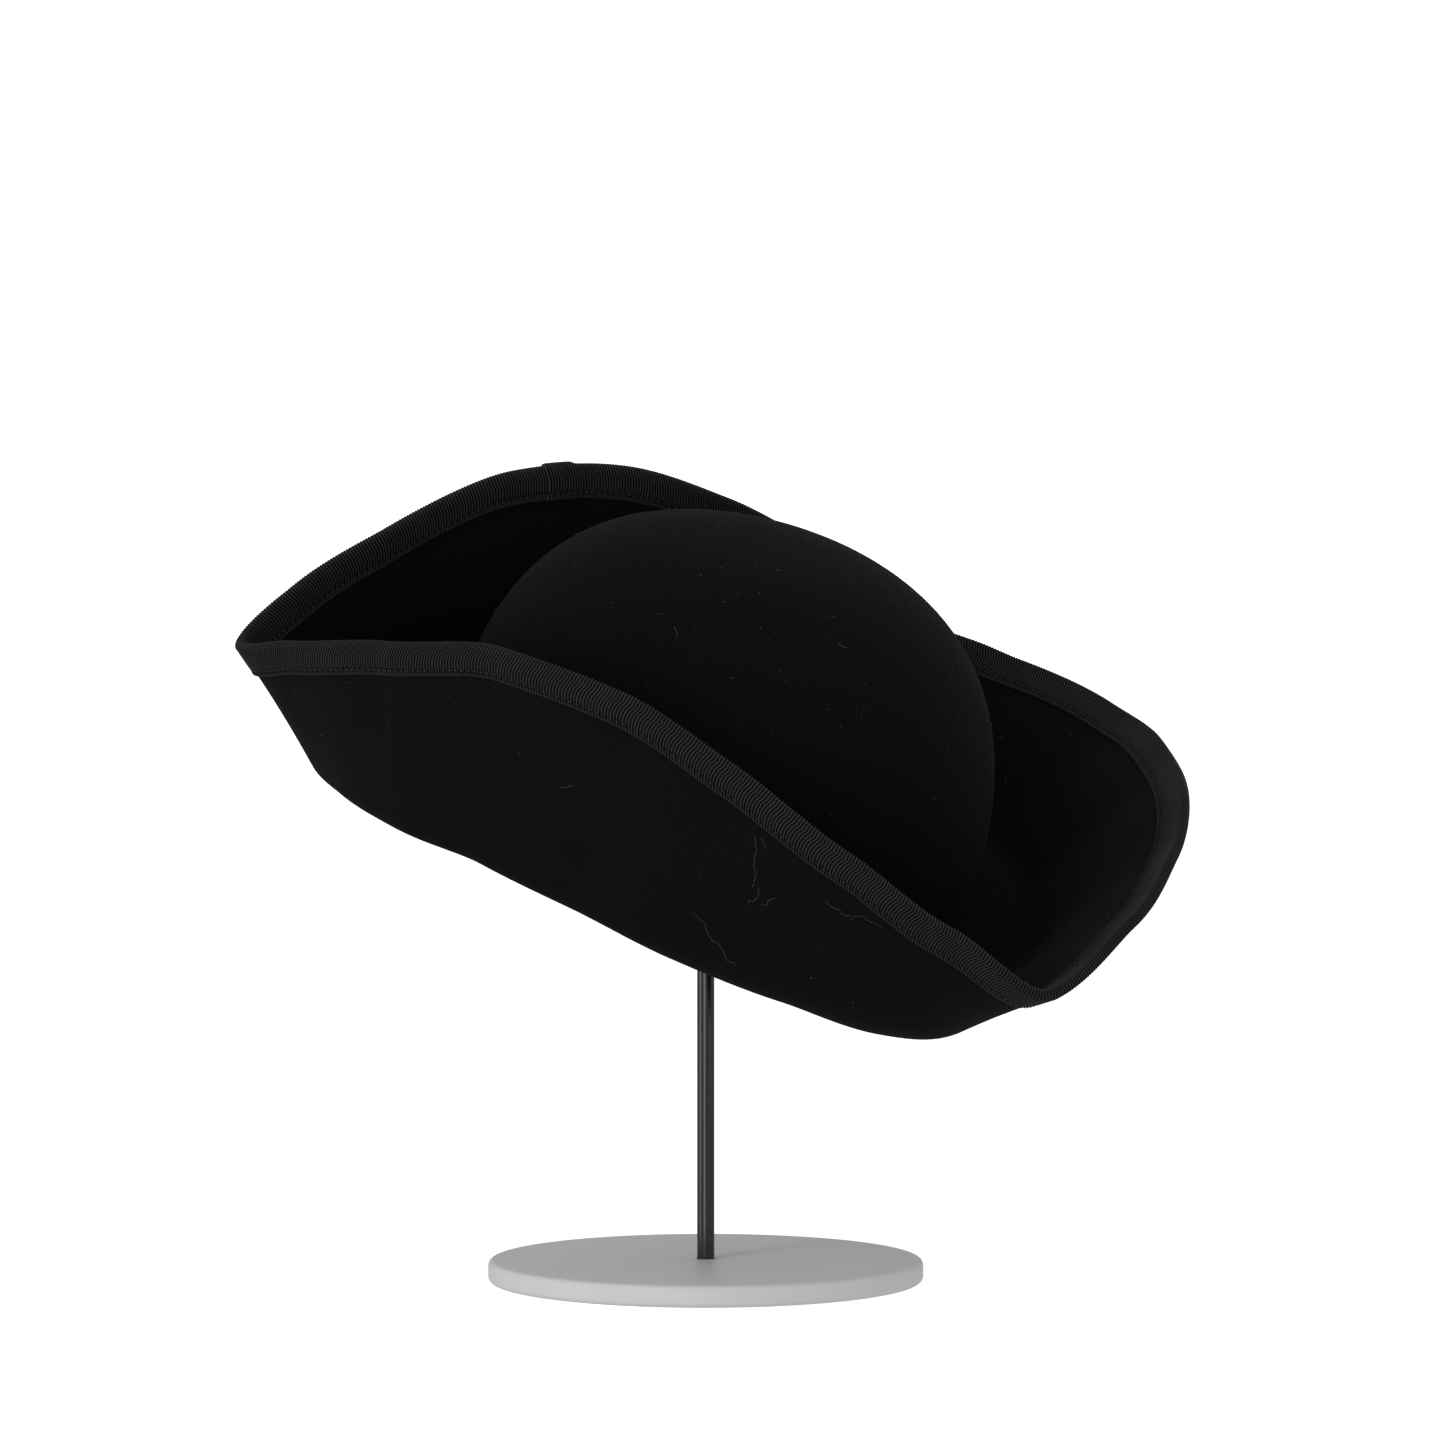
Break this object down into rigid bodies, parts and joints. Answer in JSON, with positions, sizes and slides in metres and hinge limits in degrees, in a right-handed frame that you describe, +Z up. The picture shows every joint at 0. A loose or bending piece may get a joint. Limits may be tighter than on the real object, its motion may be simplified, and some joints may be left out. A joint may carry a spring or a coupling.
{
  "type": "tricorn hat on a stand",
  "caption": "Felt tricorn hat with a round crown and a turned-up, ribbon-bound brim, held tilted on a plain rod stand with a disc base.",
  "frame": {"origin": "centre of the stand base's flat underside", "axes": "+Z up along the rod, -Y toward the hat's front point, +X toward the wearer's left, which is the side the hat leans to"},
  "size_m": [0.247, 0.3506, 0.3028],
  "materials": {
    "felt": "black wool felt, matt and slightly fuzzy",
    "ribbon": "black ribbed ribbon, low sheen",
    "base_paint": "off-white satin paint",
    "rod_metal": "dark grey metal, satin",
    "rest_plastic": "off-white matt plastic"
  },
  "bodies": {
    "root": {"felt_body": "felt", "edge_binding": "ribbon", "stand_base": "base_paint", "stand_rod": "rod_metal", "stand_rest": "rest_plastic"}
  },
  "joints": []
}
